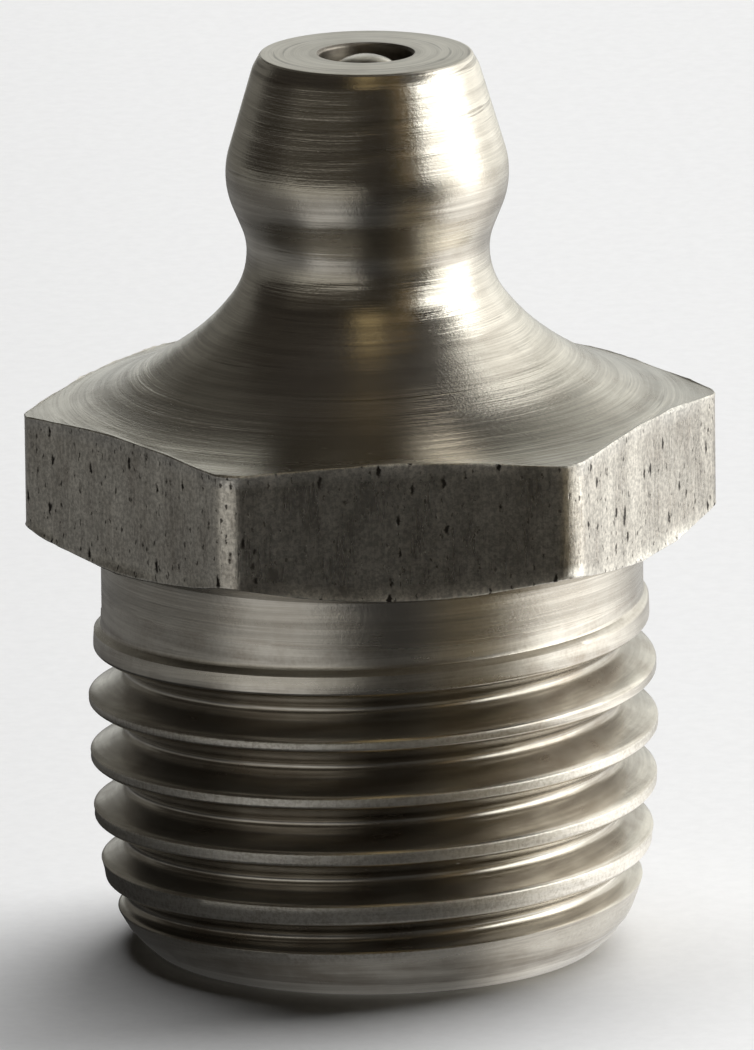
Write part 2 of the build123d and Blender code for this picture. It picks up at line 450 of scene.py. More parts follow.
class Shell:
    """Gathers grids of one piece: places, flow vector, wear, calm and material of each.

    Flow is the length down the section for turned zones, the wire's length on the spring,
    and a circle in the thread.  Wear is how far a place is rubbed bright, and calm how far
    the tool's rings are gone; in the thread it is how much shade is painted beside the root.
    """

    def __init__(self):
        self.grids, self.faces, self.slots, self.total = [], [], [], 0

    def add(self, radius, height, theta, flow, wear, slot, wrap=True, calm=0.0):
        """Adds the grid with x, y, z = radius cos theta, radius sin theta, height."""
        shape = radius.shape
        columns = (radius * np.cos(theta), radius * np.sin(theta), height, *flow, wear, calm)
        self.grids.append(np.stack([np.broadcast_to(c, shape) for c in columns], axis=-1).reshape(-1, 8))
        quads = ring_faces(*shape, wrap) + self.total
        self.faces.append(quads)
        self.slots.append(np.full(len(quads), slot))
        self.total += shape[0] * shape[1]

    def mesh(self, name, materials, sharp):
        """Mesh of all grids with coincident points made one and crisp edges marked."""
        points = np.concatenate(self.grids)
        mesh = bpy.data.meshes.new(name)
        mesh.from_pydata(points[:, :3], [], np.concatenate(self.faces))
        points = points.astype(np.float32)
        for title, kind, key, values in (
            ("wear", "FLOAT", "value", points[:, 6]),
            ("calm", "FLOAT", "value", points[:, 7]),
            ("flow", "FLOAT_VECTOR", "vector", points[:, 3:6]),
        ):
            mesh.attributes.new(title, kind, "POINT").data.foreach_set(key, np.ravel(values))
        for material in materials:
            mesh.materials.append(material)
        mesh.polygons.foreach_set("material_index", np.concatenate(self.slots).astype(np.int32))
        work = bmesh.new()
        work.from_mesh(mesh)
        bmesh.ops.remove_doubles(work, verts=work.verts, dist=2e-6)
        bmesh.ops.dissolve_degenerate(work, edges=work.edges, dist=1e-7)
        loose = [v for v in work.verts if not v.link_faces]
        bmesh.ops.delete(work, geom=loose, context="VERTS")
        open_edges = [e for e in work.edges if not e.is_manifold]
        if open_edges:
            raise RuntimeError(f"{name}: {len(open_edges)} open edges")
        if work.calc_volume(signed=True) < 0:
            raise RuntimeError(f"{name}: faces point inwards")
        work.to_mesh(mesh)
        work.free()
        mesh.polygons.foreach_set("use_smooth", np.ones(len(mesh.polygons), bool))
        mesh.set_sharp_from_angle(angle=sharp)
        mesh.update()
        return mesh


def along_rows(radius, height, start):
    """Length down the section from the first row, plus start, for every point."""
    steps = np.hypot(np.diff(radius, axis=0), np.diff(height, axis=0))
    zero = np.zeros((1, radius.shape[1]))
    return start + np.concatenate([zero, np.cumsum(steps, axis=0)])


def spun(path, theta):
    """Radius and height of a half section's points, carried round to every column."""
    ones = np.ones(len(theta))
    return path[:, :1] * ones, path[:, 1:] * ones


def burr_line(theta, burr, seed, waves, least):
    """A smeared edge round the hexagon: how rough it runs, how keen it is and how far it
    stands off.  Keenness is slow, with fewer than the given waves, and never below least."""
    rough = jag(theta, (3, 125), seed) * 0.6 + jag(theta, (40, 130), seed + 1) * 0.6
    keen = 0.5 + 0.5 * jag(theta, (2, waves), seed + 2)
    return rough, keen, burr * np.clip(keen, least, 1.2)


def bright(distance, reach, keen):
    """Wear beside an edge: it falls off straight over reach, and is less where the edge
    isn't keen."""
    return np.clip(1 - distance / reach, 0, 1) * np.clip(keen + 0.2, 0, 1)


def body_mesh(settings, materials):
    """The turned and rolled body as one closed surface.

    Its section is carried round the axis at every column: the head's profile, the
    shoulder out to the hexagon, the flats, the chamfer below them, the collar, the
    helical thread and the grease way back up to the inlet.
    """
    head, hexagon, thread = settings.head, settings.hexagon, settings.thread
    turned, drawn, rolled, bored = range(4)
    theta = columns(hexagon)
    shell = Shell()
    edge = hexagon_radius(theta, hexagon)
    corner, inner = hexagon.corner_diameter / 2, hexagon.underside_diameter / 2

    # Head, neck and flare.  The face has no rings.
    path, heading = head_profile(head, settings.valve)
    radius, height = spun(path, theta)
    along = along_rows(radius, height, 0.0)
    face = (radius < head.face_diameter / 2 + 0.01 * MM) & (height > head.overall_height - 0.06 * MM)
    shell.add(radius, height, theta, (along, 0, 0), 0.0, turned, calm=face * 1.0)

    # Shoulder: one arc from the flare to the corner, cut off by the flats, with a lip.
    shoulder, _ = arc_to(path[-1], heading, (corner, hexagon.corner_high), 200)
    rough, keen, burr = burr_line(theta, hexagon.burr, 4, 30, 0.15)
    reach = edge - 0.10 * MM
    t = np.linspace(0, 1, 15)[:-1, None]
    radius = path[-1][0] + t * (reach - path[-1][0])
    height = np.interp(radius, *shoulder.T)
    rim = np.interp(edge, *shoulder.T)
    lip_r = np.array([reach, edge - 0.045 * MM, edge - 0.010 * MM + burr * 0.3 * rough])
    lip_z = [np.interp(reach, *shoulder.T), rim + 0.4 * burr + 0.2 * burr * rough]
    lip_z = np.array([*lip_z, rim + burr * (0.9 + 0.4 * rough)])
    radius = np.concatenate([radius, lip_r])
    height = np.concatenate([height, lip_z])
    length = np.concatenate([[0.0], np.cumsum(np.hypot(*np.diff(shoulder, axis=0).T))])
    along = along[-1, 0] + np.interp(radius, shoulder[:, 0], length)
    shell.add(radius, height, theta, (along, 0, 0), bright(edge - radius, 0.14 * MM, keen), turned)

    # Flats: from the upper lip down to the lower one.
    slope = (hexagon.corner_low - hexagon.underside_height) / (corner - inner)
    foot = hexagon.underside_height + slope * (edge - inner)
    rough_low, keen_low, burr_low = burr_line(theta, hexagon.burr, 14, 26, 0.1)
    top_z = rim - 0.07 * MM
    side_z = top_z + np.linspace(0, 1, 11)[:, None] * (foot + 0.07 * MM - top_z)
    head_r = [lip_r[-1], edge + burr * (0.5 + 0.4 * rough), edge + 0.45 * burr]
    head_z = [lip_z[-1], rim + 0.3 * burr - 0.01 * MM, rim - 0.04 * MM]
    foot_r = [edge + 0.45 * burr_low, edge + burr_low * (0.5 + 0.4 * rough_low), edge - 0.010 * MM]
    foot_z = [foot + 0.04 * MM, foot + 0.01 * MM - 0.3 * burr_low, foot - burr_low * (0.9 + 0.4 * rough_low)]
    radius = np.concatenate([head_r, edge + 0 * side_z, foot_r])
    height = np.concatenate([head_z, side_z, foot_z])
    wear = np.maximum(bright(rim - height, 0.16 * MM, keen), bright(height - foot, 0.16 * MM, keen_low))
    shell.add(radius, height, theta, (0, 0, 0), wear, drawn)

    # Chamfer, underside, collar.  The flow runs on down the collar from the chamfer's end.
    blank, ledge = thread.blank_diameter / 2, hexagon.underside_height
    t = np.linspace(0, 1, 5)[:, None]
    chamfer_r = edge - 0.06 * MM + t * (inner - edge + 0.06 * MM)
    chamfer_z = ledge + slope * (chamfer_r - inner)
    under = eased([(inner, ledge), (blank, ledge), (blank, thread.run_out + 0.05 * MM)], 0.09 * MM)
    under = joined(under[:-1], np.linspace(under[-2], under[-1], 5))
    under_r, under_z = spun(under[1:], theta)
    radius = np.concatenate([foot_r[-1:], chamfer_r, under_r])
    height = np.concatenate([foot_z[-1:], chamfer_z, under_z])
    along = along_rows(radius, height, 0.0)
    along += math.hypot(1.0, slope) * (corner - inner) - along[5]
    along[:6] = math.hypot(1.0, slope) * (corner - radius[:6])
    shell.add(radius, height, theta, (along, 0, 0), 0.0, turned)

    add_thread(shell, thread, theta, along[-1, 0], rolled)
    add_way(shell, settings, theta, path[0], along[-1, 0], turned, bored)
    return shell.mesh("nipple_body", materials, math.radians(38))


def add_thread(shell, thread, theta, start, slot):
    """Adds the thread; its rows rise with the helix, so its columns don't close on themselves.

    Rows that lie near either end are set on it.  The crests are rubbed bright, most of all
    where the edges of the land fall off, and low crests have a seam along the middle.  Shade
    is painted on the root's sides.  The flow is a circle, gone round once in each pitch.  Above
    the last ridge the collar is evenly worn, and rows on the ends are as the zones they meet.
    """
    around = np.append(theta, theta[0] + 2 * np.pi)
    run_out = thread.run_out
    top, snap = run_out + 0.05 * MM, 0.012 * MM
    land_depth, lip_depth, lip_width, seam_width = 0.03 * MM, 0.014 * MM, 0.013 * MM, 0.07 * MM
    collar_wear, flow_reach = 0.16, 0.334 * MM
    height = np.clip(thread_rows(thread, around), THREAD_FOOT, top)
    height = np.where(height < THREAD_FOOT + snap, THREAD_FOOT, height)
    height = np.where(height > top - snap, top, height)
    radius, phase = thread_radius(height, np.broadcast_to(around, height.shape), thread)
    depth = shank_envelope(height, thread) - radius
    crest = np.clip(1 - depth / land_depth, 0, 1) * smooth(0.95 * MM, 1.1 * MM, height)
    crest *= 1 - 0.8 * smooth(run_out - 1.6 * MM, run_out - 0.4 * MM, height)
    rubbed = crest * (0.35 + 0.65 * np.exp(-(((depth - lip_depth) / lip_width) ** 2)))
    seam = crest * (1 - smooth(4.0 * MM, 6.6 * MM, height)) * np.exp(-((phase / seam_width) ** 2))
    radius = radius - thread.lip * seam
    off = thread.pitch / 2 - np.abs(phase)
    # Painted shade on the flanks beside the root of the groove.
    grime = smooth(0.03 * MM, 0.08 * MM, off) * (1 - smooth(0.20 * MM, 0.42 * MM, off))
    ring = 2 * np.pi * phase / thread.pitch
    spare = (height <= THREAD_FOOT) | (height >= top)
    across, up = flow_reach * np.cos(ring), flow_reach * np.sin(ring)
    flow = np.where(spare, start, across), np.where(spare, 0, up), 0
    plain = smooth(run_out - 1.3 * MM, run_out - 0.7 * MM, height)
    collar = collar_wear * plain * smooth(run_out + 0.03 * MM, run_out - 0.10 * MM, height)
    rubbed = np.maximum(rubbed, collar)
    grime *= 1 - plain
    rubbed[spare] = grime[spare] = 0.0
    angles = np.append(theta, theta[0])
    shell.add(radius, height, angles, flow, rubbed, slot, wrap=False, calm=grime)


def add_way(shell, settings, theta, mouth, start, turned, bored):
    """Adds the rounded end, the standing ring and the grease way up to the inlet's mouth."""
    valve, top = settings.valve, settings.head.overall_height
    low = np.linspace(THREAD_FOOT, 0.0, 5)
    end = np.stack([shank_envelope(low, settings.thread), low], axis=1)
    outlet, bore, inlet = valve.outlet_diameter / 2, valve.bore_diameter / 2, valve.inlet_diameter / 2
    rest, lift = outlet + valve.outlet_chamfer, 0.25 * MM
    ring = [(end[-1][0] - lift, 0.0), (rest + lift, 0.0), (rest, 0.0), (outlet, valve.outlet_chamfer)]
    end = joined(end[:-1], eased([end[-2], end[-1], *ring], 0.05 * MM, 3)[:-1])
    radius, height = spun(end, theta)
    along = along_rows(radius, height, start)
    shell.add(radius, height, theta, (along, 0, 0), 0.0, turned)

    seat_top = top - valve.inlet_depth
    seat_low = seat_top - (bore - inlet) / math.tan(valve.seat_angle)
    lip = [(outlet, valve.outlet_chamfer), (outlet, valve.lip_height), (bore, valve.lip_height)]
    seat = [(bore, seat_low), (inlet, seat_top), (inlet, top - valve.inlet_chamfer)]
    way = eased([end[-1], *lip, *seat, (inlet + valve.inlet_chamfer, top)], 0.03 * MM, 3)
    way[-1] = mouth
    radius, height = spun(way, theta)
    along = along_rows(radius, height, along[-1, 0])
    along[-1] = 0.0
    calm = np.zeros_like(along)
    calm[-1] = 1.0
    shell.add(radius, height, theta, (along, 0, 0), 0.0, bored, calm=calm)


# ------------------------ ball and spring surfaces


def ball_mesh(settings, material):
    """Sphere of rings and meridians: x, y, z = R sin v cos u, R sin v sin u, R cos v,
    closed by one point at each pole."""
    centre = (BALL_BOX[0] + BALL_BOX[1]) / 2
    r = settings.valve.ball_diameter / 2
    v = np.linspace(0.0, np.pi, 49)[:, None]
    u = np.linspace(0.0, 2 * np.pi, 97)[None, :-1]
    radius = r * np.sin(v) * np.ones_like(u)
    radius[[0, -1]] = 0.0
    shell = Shell()
    shell.add(radius, centre.z + r * np.cos(v), u, (r * v, 0, 0), 0.0, 0)
    return shell.mesh("check_ball", [material], math.radians(60))


def spring_mesh(settings, material):
    """Round wire carried along a helix, both ends closed and ground flat.

    The wire's middle is (c cos a, c sin a, z + p a / 2 pi); a point of its skin adds the
    wire's radius along the outward direction and the direction square to it and the path.
    """
    valve = settings.valve
    low, high = SPRING_BOX[0].z, SPRING_BOX[1].z
    wire = valve.wire_diameter / 2
    coil = (SPRING_BOX[1].x - SPRING_BOX[0].x) / 2 - wire
    bottom = low + wire - valve.ground_depth
    top = high - wire + valve.ground_depth
    turns = valve.spring_turns
    a = np.linspace(0.0, 2 * np.pi * turns, int(40 * turns) + 1)[:, None]
    b = np.linspace(0.0, 2 * np.pi, 13)[None, :-1]
    middle = np.stack([coil * np.cos(a), coil * np.sin(a), bottom + (top - bottom) * a / a[-1]], axis=-1)
    tilt = math.atan2((top - bottom) / (2 * np.pi * turns), coil)
    outward = np.stack([np.cos(a), np.sin(a), 0 * a], axis=-1)
    lean, lift = math.sin(tilt), math.cos(tilt)
    upward = np.stack([np.sin(a) * lean, -np.cos(a) * lean, lift + 0 * a], axis=-1)
    skin = middle + wire * (np.cos(b)[..., None] * outward + np.sin(b)[..., None] * upward)
    skin = np.concatenate([middle[:1] + 0 * skin[:1], skin, middle[-1:] + 0 * skin[-1:]])
    skin[..., 2] = np.clip(skin[..., 2], low, high)
    shell = Shell()
    radius = np.hypot(skin[..., 0], skin[..., 1])
    about = np.arctan2(skin[..., 1], skin[..., 0])
    along = np.linspace(0, 2 * np.pi * coil * turns, len(skin))[:, None]
    shell.add(radius, skin[..., 2], about, (0, along, 0), 0.0, 0)
    return shell.mesh("valve_spring", [material], math.radians(60))


# ------------------------ node tools


class Wiring:
    """Short hand for one node tree."""

    def __init__(self, tree):
        self.tree = tree

    def node(self, kind, inputs=None, **settings):
        """A shader node with its settings and the values or links of its inputs."""
        made = self.tree.nodes.new("ShaderNode" + kind)
        for key, value in settings.items():
            setattr(made, key, value)
        for key, value in (inputs or {}).items():
            self.put(made.inputs[key], value)
        return made

    def put(self, socket, value):
        """Sets or links one input."""
        if isinstance(value, bpy.types.NodeSocket):
            self.tree.links.new(value, socket)
        elif isinstance(value, (tuple, list)) and socket.type == "RGBA":
            socket.default_value = (*value[:3], 1.0)
        else:
            socket.default_value = value

    def first(self, kind, *values, **settings):
        """First output of a node whose first inputs are given in order."""
        return self.node(kind, dict(enumerate(values)), **settings).outputs[0]

    def math(self, operation, *values, clamp=False):
        """One arithmetic step."""
        return self.first("Math", *values, operation=operation, use_clamp=clamp)

    def times(self, first, *others):
        """Product of all the values, from the left."""
        for value in others:
            first = self.math("MULTIPLY", first, value)
        return first

    def plus(self, a, b):
        """a + b."""
        return self.math("ADD", a, b)

    def minus(self, a, b):
        """a - b."""
        return self.math("SUBTRACT", a, b)

    def linear(self, a, b, c):
        """a b + c."""
        return self.math("MULTIPLY_ADD", a, b, c)

    def scaled(self, a, factor):
        """Vector a times a number."""
        return self.node("VectorMath", {0: a, "Scale": factor}, operation="SCALE").outputs[0]

    def vector(self, operation, a, b):
        """One vector step."""
        return self.first("VectorMath", a, b, operation=operation)

    def step(self, value, low, high, a=0.0, b=1.0):
        """Smooth step of value from a at low to b at high."""
        return self.first("MapRange", value, low, high, a, b, interpolation_type="SMOOTHSTEP")

    def mix(self, factor, a, b, blend="MIX"):
        """Colour mix."""
        made = self.node("Mix", {0: factor, 6: a, 7: b}, data_type="RGBA", blend_type=blend)
        return made.outputs[2]

    def grey(self, level):
        """Grey of that level."""
        return self.first("CombineColor", level, level, level)

    def noise(self, vector, scale, detail, roughness):
        """Noise from nought to one."""
        inputs = {"Vector": vector, "Scale": scale, "Detail": detail, "Roughness": roughness}
        return self.node("TexNoise", inputs).outputs[0]

    def place(self):
        """Place on the object, in its own coordinates."""
        return self.node("TexCoord").outputs["Object"]

    def attribute(self, name, output="Fac"):
        """An attribute of the surface."""
        return self.node("Attribute", attribute_name=name).outputs[output]

    def group(self, build, inputs=None):
        """Outputs of the node group that build makes, built the first time it is asked for."""
        name = build.__name__.replace("_", " ").capitalize()
        if name not in bpy.data.node_groups:
            build(name)
        return self.node("Group", inputs, node_tree=bpy.data.node_groups[name]).outputs


def new_group(name, inputs, outputs):
    """An empty shader node group: its wiring, its inputs with their values, its outputs.

    A socket is a colour where its value is one, or where it is called Color.
    """
    tree = bpy.data.node_groups.new(name, "ShaderNodeTree")
    for title, value in inputs.items():
        tinted = isinstance(value, tuple)
        kind = "NodeSocketColor" if tinted else "NodeSocketFloat"
        socket = tree.interface.new_socket(title, in_out="INPUT", socket_type=kind)
        socket.default_value = (*value, 1.0) if tinted else value
    for title in outputs:
        kind = "NodeSocketColor" if title == "Color" else "NodeSocketFloat"
        tree.interface.new_socket(title, in_out="OUTPUT", socket_type=kind)
    source, sink = tree.nodes.new("NodeGroupInput"), tree.nodes.new("NodeGroupOutput")
    return Wiring(tree), source.outputs, sink.inputs


def turning_marks(name):
    """Rings left by the tool: noise that is slow round the axis and quick down the section.

    Height is the sum of a fine and a middle ring noise, larger where the coarse one is
    high; Tone is a blend of all three, and Scratch the few rings that are torn deeper.
    """
    w, given, out = new_group(name, {"Rings": 26000.0, "Unevenness": 260.0}, ("Height", "Tone", "Scratch"))
    flow = w.attribute("flow", "Vector")
    slow = w.scaled(w.place(), given["Unevenness"])

    def rings(drift, share_of_rings, detail, roughness):
        """Ring noise at a share of the finest rings' number."""
        quick = w.scaled(flow, w.times(given["Rings"], share_of_rings))
        return w.noise(w.vector("ADD", drift, quick), 1.0, detail, roughness)

    fine = rings(slow, 1.0, 2.0, 0.5)
    middle = rings(slow, 0.24, 3.0, 0.6)
    coarse = rings(w.scaled(slow, 0.5), 0.05, 2.0, 0.5)
    torn = w.step(coarse, 0.46, 0.60, 0.45, 1.0)
    height = w.times(w.linear(middle, 0.8, w.times(fine, 0.35)), torn)
    scratch = w.times(w.step(middle, 0.60, 0.70), torn)
    w.put(out["Height"], w.linear(scratch, -0.30, height))
    w.put(out["Tone"], w.linear(coarse, 0.45, w.linear(fine, 0.2, w.times(middle, 0.35))))
    w.put(out["Scratch"], scratch)


def drawn_grain(name):
    """Skin of the drawn bar: streaks along the axis and long narrow pits.

    Streaks are noise that is quick across the flats and slow along the axis.  Pits are
    the cells of two stretched cell patterns, one finer, whose own number is low, kept near
    each cell's middle, with their outline broken by noise.
    """
    w, _, out = new_group(name, {}, ("Height", "Tone", "Pits"))
    place = w.place()

    def streaked(along, scale, detail, roughness):
        """Noise that is drawn out along the axis."""
        stretched = w.vector("MULTIPLY", place, (1.0, 1.0, along))
        return w.noise(w.scaled(stretched, scale), 1.0, detail, roughness)

    streaks = streaked(0.11, 11000.0, 3.0, 0.6)
    broken = streaked(0.4, 15000.0, 2.0, 0.6)
    wide = streaked(0.35, 1300.0, 3.0, 0.55)
    ragged = w.node("TexNoise", {"Vector": place, "Scale": 9000.0, "Detail": 2.0}).outputs[1]
    bent = w.vector("MULTIPLY", w.vector("ADD", place, w.scaled(ragged, 0.14 * MM)), (1.0, 1.0, 0.37))
    cells_in_a_metre, pitted_share, rim, bottom = 3900.0, 0.42, 0.30, 0.135
    pits = []
    for finer, depth in ((1.0, 1.0), (2.1, 0.8)):
        inputs = {"Vector": w.scaled(bent, cells_in_a_metre), "Scale": finer}
        cells = w.node("TexVoronoi", inputs).outputs
        number = w.first("SeparateColor", cells["Color"])
        chosen = w.math("LESS_THAN", number, pitted_share)
        pits.append(w.times(chosen, w.step(cells["Distance"], rim, bottom), depth))
    pits = w.math("MAXIMUM", *pits)
    grain = w.linear(streaks, 0.6, w.times(broken, 0.3))
    w.put(out["Height"], w.linear(pits, -0.3, grain))
    w.put(out["Tone"], w.linear(wide, 0.45, w.linear(streaks, 0.30, 0.125)))
    w.put(out["Pits"], pits)


def fine_grain(name):
    """Fine even grain: noise at three scales on the object's own coordinates."""
    w, _, out = new_group(name, {}, ("Grain", "Speckle", "Patches"))
    place = w.place()
    w.put(out["Grain"], w.noise(place, 24000.0, 2.0, 0.6))
    w.put(out["Speckle"], w.noise(place, 10800.0, 3.0, 0.7))
    w.put(out["Patches"], w.noise(place, 1080.0, 4.0, 0.6))


def steel_colour(name):
    """Steel under a thin film.

    The clean colour is darkened and lightened by Tone, and turns to the film's colour
    where the patches and the low places are; bright worn places lose the film.
    """
    inputs = {"Steel": BLACK, "Film": BLACK, "Amount": 0.0, "Tone": 0.0, "Patches": 0.0, "Worn": 0.0}
    w, given, out = new_group(name, inputs, ("Color", "Film"))
    film = w.times(w.linear(w.step(given["Patches"], 0.36, 0.68), 0.7, 0.3), given["Amount"])
    film = w.times(film, w.linear(w.step(given["Tone"], 0.62, 0.34), 0.8, 0.4))
    film = w.math("MULTIPLY", film, w.minus(1.0, given["Worn"]), clamp=True)
    level = w.step(given["Tone"], 0.34, 0.66, 0.66, 1.14)
    clean = w.mix(1.0, given["Steel"], w.grey(level), "MULTIPLY")
    rubbed = w.times(given["Worn"], 0.7)
    w.put(out["Color"], w.mix(rubbed, w.mix(film, clean, given["Film"]), BRIGHT_STEEL))
    w.put(out["Film"], film)


class Steel(Wiring):
    """One steel material under way: its marks, its grain and how far it is worn."""

    def __init__(self, name, marks=None, inputs=None):
        self.material = bpy.data.materials.new(name)
        self.material.use_nodes = True
        super().__init__(self.material.node_tree)
        self.worn = self.attribute("wear")
        self.marks = marks and self.group(marks, inputs)
        self.grain = self.group(fine_grain)

    def filmed(self, finish, amount, tone, worn=0.0):
        """Outputs of the steel's colour, with the film's amount over the usual one."""
        inputs = {"Steel": tuple(finish.steel), "Film": tuple(finish.film), "Tone": tone, "Worn": worn}
        inputs["Amount"] = min(1.0, finish.film_amount * amount)
        inputs["Patches"] = self.grain["Patches"]
        return self.group(steel_colour, inputs)

    def finished(self, base, rough, *layers):
        """The material, with its colour, its roughness and its bump layers, each a height
        and its depth in metres, one on top of the other."""
        shader = self.tree.nodes["Principled BSDF"].inputs
        normal = None
        for height, depth in layers:
            bump = self.node("Bump", {"Height": height, "Distance": depth, "Strength": 1.0})
            if normal is not None:
                self.put(bump.inputs["Normal"], normal)
            normal = bump.outputs[0]
        for key, value in (("Metallic", 1.0), ("Base Color", base), ("Roughness", rough), ("Normal", normal)):
            self.put(shader[key], value)
        return self.material


def turned_steel(finish):
    """Turned surfaces: rings, a little film, and grain."""
    s = Steel("turned_steel", turning_marks)
    tint = s.filmed(finish, 1.0, s.marks["Tone"], s.worn)
    dirt = s.times(s.marks["Scratch"], s.linear(s.grain["Patches"], 1.0, 0.1))
    calm = s.attribute("calm")
    rough = s.linear(s.marks["Tone"], -0.20, finish.turned_roughness + 0.10)
    rough = s.linear(s.worn, 0.22, s.linear(tint["Film"], 0.12, rough))
    rough = s.linear(calm, 0.10, rough)
    rings = s.times(s.marks["Height"], s.linear(calm, -0.9, 1.0))
    layers = (rings, 1.5e-5), (s.grain["Speckle"], 5.0e-6), (s.grain["Grain"], 2.0e-6)
    return s.finished(s.mix(dirt, tint["Color"], SCRATCH_DIRT), rough, *layers)


def drawn_steel(finish):
    """Flats of the bar: streaks, pits and a dull skin that is rubbed bright at the edges."""
    s = Steel("drawn_steel", drawn_grain)
    tint = s.filmed(finish, 1.0, s.marks["Tone"], s.worn)
    mottle = s.grey(s.step(s.grain["Speckle"], 0.35, 0.65, 0.70, 1.16))
    skin = s.mix(1.0, tint["Color"], mottle, "MULTIPLY")
    rough = s.linear(s.marks["Tone"], 0.2, finish.drawn_roughness - 0.1)
    rough = s.linear(s.worn, 0.25, s.linear(s.marks["Pits"], 0.3, rough))
    layers = (s.marks["Height"], 1.0e-5), (s.grain["Grain"], 5.0e-6)
    return s.finished(s.mix(s.marks["Pits"], skin, tuple(finish.pit)), rough, *layers)


def rolled_steel(finish):
    """Thread: smooth flanks under a brown film with painted shade beside the root, crests rubbed bright and
    rough.
    """
    s = Steel("rolled_steel", turning_marks, {"Rings": 16000.0, "Unevenness": 500.0})
    worn = s.times(s.worn, s.step(s.grain["Speckle"], 0.40, 0.58, 0.25, 1.0))
    tint = s.filmed(finish, 1.9, s.marks["Tone"], worn)
    grime = s.times(s.attribute("calm"), finish.grime)
    rough = s.linear(tint["Film"], 0.08, s.linear(s.worn, 0.30, finish.rolled_roughness))
    crest = s.times(s.grain["Speckle"], s.linear(s.worn, 14.0, 0.6))
    # Painted shade: the colour turns dark beside the root of the groove.
    base = s.mix(grime, tint["Color"], THREAD_SHADE)
    return s.finished(base, rough, (s.marks["Height"], 1.5e-6), (crest, 1.2e-6))


def bored_steel(finish):
    """Inside of the grease way: coarse rings, dull, and darkened with patchy painted shade."""
    s = Steel("bored_steel", turning_marks, {"Rings": 15000.0})
    tint = s.filmed(finish, 1.5, s.marks["Tone"], s.worn)
    # Painted shade inside the grease way, patchy.
    bore_shade = s.step(s.grain["Patches"], 0.35, 0.65, 0.62, 0.86)
    rough = s.linear(s.marks["Tone"], 0.2, 0.3)
    return s.finished(s.mix(bore_shade, tint["Color"], BORE_SHADE), rough, (s.marks["Height"], 6.0e-6))


def polished_steel(finish):
    """Ball: ground smooth, with faint scuffs."""
    s = Steel("polished_steel")
    tint = s.filmed(finish, 0.6, s.grain["Patches"])
    rough = s.linear(s.grain["Patches"], 0.2, 0.12)
    return s.finished(tint["Color"], rough, (s.grain["Grain"], 0.8e-6))


def wire_steel(finish):
    """Spring wire: drawn along its length, slightly brown."""
    s = Steel("wire_steel", turning_marks, {"Rings": 900.0, "Unevenness": 6000.0})
    tint = s.filmed(finish, 1.2, s.marks["Tone"])
    rough = s.linear(s.marks["Tone"], 0.2, 0.2)
    return s.finished(tint["Color"], rough, (s.marks["Height"], 2.0e-6))


# ------------------------ stage


# Cards of the surroundings, each over the ones before: setting that its strength follows,
# colour, middle and half width of its azimuth, lowest and highest elevation, softness.
CARDS = (
    (None, 0.055, 0.05, 0.045, 0, 200, 62, 95, 8),
    (None, 0.34, 0.265, 0.14, -5, 15, 40, 92, 4),
    (None, 0.14, 0.11, 0.065, 175, 17, 72, 95, 5),
    (None, 0.075, 0.068, 0.055, -50, 34, 8, 26, 5),
    (None, 0.60, 0.58, 0.52, -44, 32, -95, 4, 5),
    (None, 0.22, 0.215, 0.195, -108, 28, -95, 1, 4),
    (None, 0.38, 0.37, 0.335, -80, 8, -95, 2, 8),
    (None, 0.08, 0.076, 0.066, -160, 28, 20, 54, 5),
    (None, 0.165, 0.16, 0.145, -158, 30, -95, 26, 5),
    (None, 0.17, 0.12, 0.05, 32, 8, 8, 66, 3),
    ("backdrop", 0.45, 0.45, 0.41, 160, 26, 20, 44, 5),
    ("backdrop", 0.70, 0.71, 0.68, 174, 13, -95, 28, 3),
    ("backdrop", 1.15, 1.15, 1.08, 148, 15, -95, 28, 4),
    ("backdrop", 1.55, 1.54, 1.47, 118, 24, -95, 58, 5),
    ("window", 0.50, 0.50, 0.47, 68, 12, -95, 12, 4),
    ("window", 0.80, 0.80, 0.77, 63, 17, 10, 34, 2),
    ("window", 1.0, 0.99, 0.95, 88, 14, -95, 40, 4),
)
ROOM_SHADE, BACKGROUND = (0.036, 0.032, 0.027), (0.90, 0.905, 0.905)


def sky_card(name):
    """Mask of a soft-edged rectangle in the surroundings, by direction.

    Azimuth is the angle round +Z from -Y towards +X and elevation the angle above the
    horizon; the mask is the product of smooth steps of both.
    """
    angles = dict.fromkeys(("Azimuth", "Elevation", "Middle", "Half Width", "Low", "High", "Softness"), 0.0)
    w, given, out = new_group(name, angles, ("Mask",))

    def inside(value, edge, side):
        """Smooth step over an edge: one below it where side is 1, above it where it is -1."""
        reach = w.times(given["Softness"], side)
        return w.step(value, w.plus(edge, reach), w.minus(edge, reach))

    off = w.math("ABSOLUTE", w.math("WRAP", w.minus(given["Azimuth"], given["Middle"]), 180.0, -180.0))
    above = inside(given["Elevation"], given["Low"], -1.0)
    below = inside(given["Elevation"], given["High"], 1.0)
    w.put(out["Mask"], w.times(inside(off, given["Half Width"], 1.0), w.times(above, below)))


def bearing_of(w, x, y):
    """Angle round the axis in degrees, from the front (-Y) towards +X."""
    return w.math("DEGREES", w.math("ARCTAN2", x, w.times(y, -1.0)))


